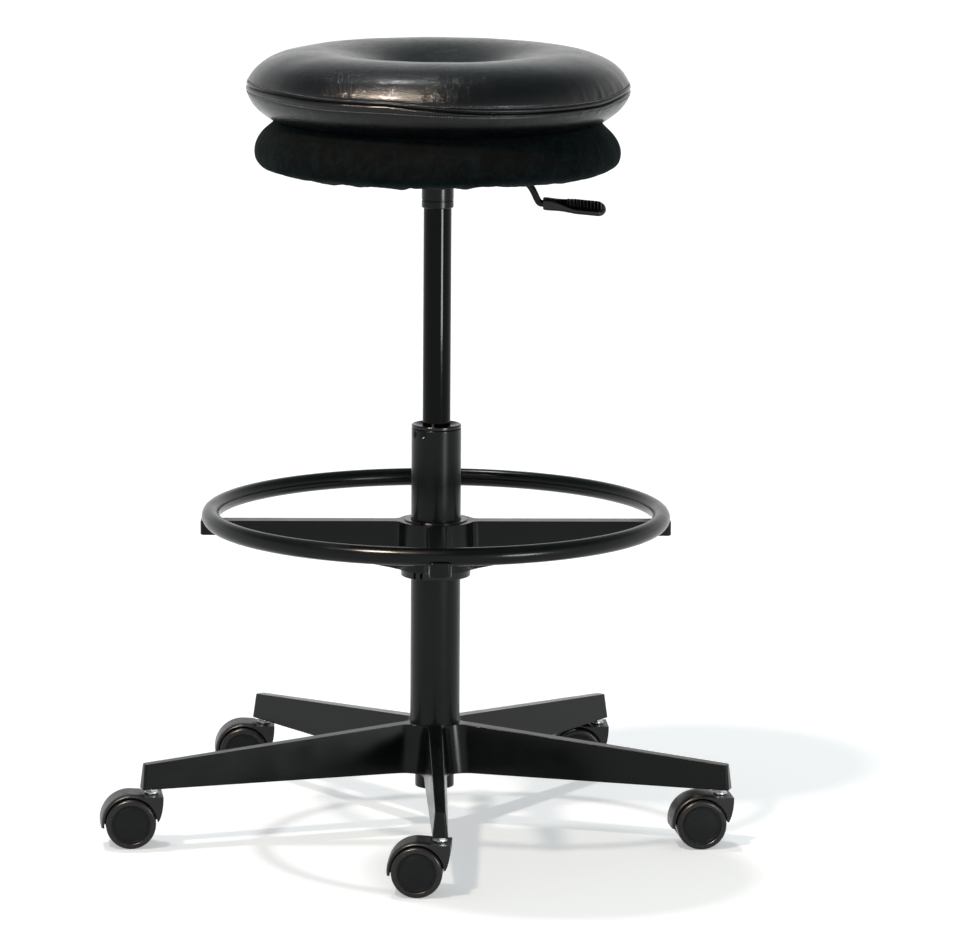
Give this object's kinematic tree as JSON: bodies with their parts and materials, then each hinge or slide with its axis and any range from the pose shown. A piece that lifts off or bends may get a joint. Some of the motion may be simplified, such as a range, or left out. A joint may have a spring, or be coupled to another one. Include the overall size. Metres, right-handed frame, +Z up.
{
  "type": "perch stool",
  "caption": "Height-adjustable perch stool: round layered cushion seat on a gas lift with release lever, foot ring on a clamped hub, and a star base on swivel casters.",
  "frame": {"origin": "middle of the footprint's bounding box on the floor; the column axis stands at X 0.0177, Y 0.0268 because every caster trails towards -X", "axes": "+Z up along the column; -Y towards the front, where one leg points; +X towards the side of the release lever"},
  "size_m": [0.633, 0.5894, 0.7875],
  "materials": {
    "black_powder_coat": "satin",
    "black_gloss_enamel": "gloss",
    "zinc_steel": "polished",
    "black_oxide_steel": "satin",
    "black_rubber": "matte",
    "black_nylon": "satin",
    "charcoal_tread": "matte",
    "birch_plywood": "matte",
    "black_suede": "matte",
    "black_leather": "satin"
  },
  "bodies": {
    "base": {"star_base": "black_powder_coat", "column_tube": "black_powder_coat", "guide_bushing": "black_nylon", "thrust_bearing": "zinc_steel", "caster_1_stem": "zinc_steel", "caster_2_stem": "zinc_steel", "caster_3_stem": "zinc_steel", "caster_4_stem": "zinc_steel", "caster_5_stem": "zinc_steel"},
    "lift_rod": {"piston_rod": "zinc_steel", "bump_stop": "black_rubber", "retaining_clip": "zinc_steel"},
    "seat": {"gas_cylinder": "black_gloss_enamel", "seat_plate": "black_powder_coat", "seat_board": "birch_plywood", "seat_pad": "black_suede", "leather_cushion": "black_leather", "lever_pivot_pin": "zinc_steel", "plate_screw_1": "zinc_steel", "plate_screw_2": "zinc_steel", "plate_screw_3": "zinc_steel", "plate_screw_4": "zinc_steel"},
    "release": {"release_button": "zinc_steel"},
    "lever": {"lever_rod": "black_powder_coat", "lever_handle": "black_nylon"},
    "ring_clamp": {"ring_collet": "black_nylon"},
    "foot_ring": {"ring_hub": "black_powder_coat", "foot_ring": "black_powder_coat", "ring_screw_1": "black_oxide_steel", "ring_screw_2": "black_oxide_steel", "ring_screw_3": "black_oxide_steel", "ring_screw_4": "black_oxide_steel"},
    "caster_1": {"caster_1_housing": "black_nylon", "caster_1_axle": "zinc_steel"},
    "caster_1_front_wheel": {"caster_1_wheel_front": "charcoal_tread"},
    "caster_1_back_wheel": {"caster_1_wheel_back": "charcoal_tread"},
    "caster_2": {"caster_2_housing": "black_nylon", "caster_2_axle": "zinc_steel"},
    "caster_2_front_wheel": {"caster_2_wheel_front": "charcoal_tread"},
    "caster_2_back_wheel": {"caster_2_wheel_back": "charcoal_tread"},
    "caster_3": {"caster_3_housing": "black_nylon", "caster_3_axle": "zinc_steel"},
    "caster_3_front_wheel": {"caster_3_wheel_front": "charcoal_tread"},
    "caster_3_back_wheel": {"caster_3_wheel_back": "charcoal_tread"},
    "caster_4": {"caster_4_housing": "black_nylon", "caster_4_axle": "zinc_steel"},
    "caster_4_front_wheel": {"caster_4_wheel_front": "charcoal_tread"},
    "caster_4_back_wheel": {"caster_4_wheel_back": "charcoal_tread"},
    "caster_5": {"caster_5_housing": "black_nylon", "caster_5_axle": "zinc_steel"},
    "caster_5_front_wheel": {"caster_5_wheel_front": "charcoal_tread"},
    "caster_5_back_wheel": {"caster_5_wheel_back": "charcoal_tread"}
  },
  "joints": [
    {"name": "seat_swivel", "type": "hinge", "parent": "base", "child": "lift_rod", "pos_m": [0.01766, 0.02681, 0.0666], "axis": [0, 0, 1], "continuous": true},
    {"name": "seat_height", "type": "slide", "parent": "lift_rod", "child": "seat", "axis": [0, 0, 1], "range_m": [-0.195, 0]},
    {"name": "lever_pull", "type": "hinge", "parent": "seat", "child": "lever", "pos_m": [0.04566, 0.02681, 0.6575], "axis": [0, -1, 0], "range_deg": [0, 4], "stiffness_Nm_per_rad": 2},
    {"name": "release_press", "type": "slide", "parent": "seat", "child": "release", "axis": [0, 0, 1], "range_m": [-0.0021, 0]},
    {"name": "ring_height", "type": "slide", "parent": "base", "child": "ring_clamp", "axis": [0, 0, 1], "range_m": [-0.14, 0.085]},
    {"name": "ring_lock", "type": "hinge", "parent": "ring_clamp", "child": "foot_ring", "pos_m": [0.01766, 0.02681, 0.289], "axis": [0, 0, 1], "range_deg": [0, 45]},
    {"name": "caster_1_swivel", "type": "hinge", "parent": "base", "child": "caster_1", "pos_m": [0.02339, -0.27163, 0.045], "axis": [0, 0, 1], "continuous": true},
    {"name": "caster_1_front_spin", "type": "hinge", "parent": "caster_1", "child": "caster_1_front_wheel", "pos_m": [0.00116, -0.28498, 0.025], "axis": [0.0523, 0.9986, 0], "continuous": true},
    {"name": "caster_1_back_spin", "type": "hinge", "parent": "caster_1", "child": "caster_1_back_wheel", "pos_m": [0.00268, -0.25603, 0.025], "axis": [0.0523, 0.9986, 0], "continuous": true},
    {"name": "caster_2_swivel", "type": "hinge", "parent": "base", "child": "caster_2", "pos_m": [0.30327, -0.05996, 0.045], "axis": [0, 0, 1], "continuous": true},
    {"name": "caster_2_front_spin", "type": "hinge", "parent": "caster_2", "child": "caster_2_front_wheel", "pos_m": [0.2837, -0.07697, 0.025], "axis": [-0.1219, 0.9925, 0], "continuous": true},
    {"name": "caster_2_back_spin", "type": "hinge", "parent": "caster_2", "child": "caster_2_back_wheel", "pos_m": [0.28016, -0.04819, 0.025], "axis": [-0.1219, 0.9925, 0], "continuous": true},
    {"name": "caster_3_swivel", "type": "hinge", "parent": "base", "child": "caster_3", "pos_m": [0.18845, 0.27163, 0.045], "axis": [0, 0, 1], "continuous": true},
    {"name": "caster_3_front_spin", "type": "hinge", "parent": "caster_3", "child": "caster_3_front_wheel", "pos_m": [0.16773, 0.25603, 0.025], "axis": [-0.0523, 0.9986, 0], "continuous": true},
    {"name": "caster_3_back_spin", "type": "hinge", "parent": "caster_3", "child": "caster_3_back_wheel", "pos_m": [0.16622, 0.28498, 0.025], "axis": [-0.0523, 0.9986, 0], "continuous": true},
    {"name": "caster_4_swivel", "type": "hinge", "parent": "base", "child": "caster_4", "pos_m": [-0.1624, 0.26489, 0.045], "axis": [0, 0, 1], "continuous": true},
    {"name": "caster_4_front_spin", "type": "hinge", "parent": "caster_4", "child": "caster_4_front_wheel", "pos_m": [-0.18311, 0.24929, 0.025], "axis": [-0.0523, 0.9986, 0], "continuous": true},
    {"name": "caster_4_back_spin", "type": "hinge", "parent": "caster_4", "child": "caster_4_back_wheel", "pos_m": [-0.18463, 0.27825, 0.025], "axis": [-0.0523, 0.9986, 0], "continuous": true},
    {"name": "caster_5_swivel", "type": "hinge", "parent": "base", "child": "caster_5", "pos_m": [-0.26441, -0.07086, 0.045], "axis": [0, 0, 1], "continuous": true},
    {"name": "caster_5_front_spin", "type": "hinge", "parent": "caster_5", "child": "caster_5_front_wheel", "pos_m": [-0.28427, -0.08753, 0.025], "axis": [-0.1045, 0.9945, 0], "continuous": true},
    {"name": "caster_5_back_spin", "type": "hinge", "parent": "caster_5", "child": "caster_5_back_wheel", "pos_m": [-0.2873, -0.05869, 0.025], "axis": [-0.1045, 0.9945, 0], "continuous": true}
  ],
  "couplings": [
    {"joint": "release_press", "follows": "lever_pull", "m_per_rad": -0.028}
  ]
}
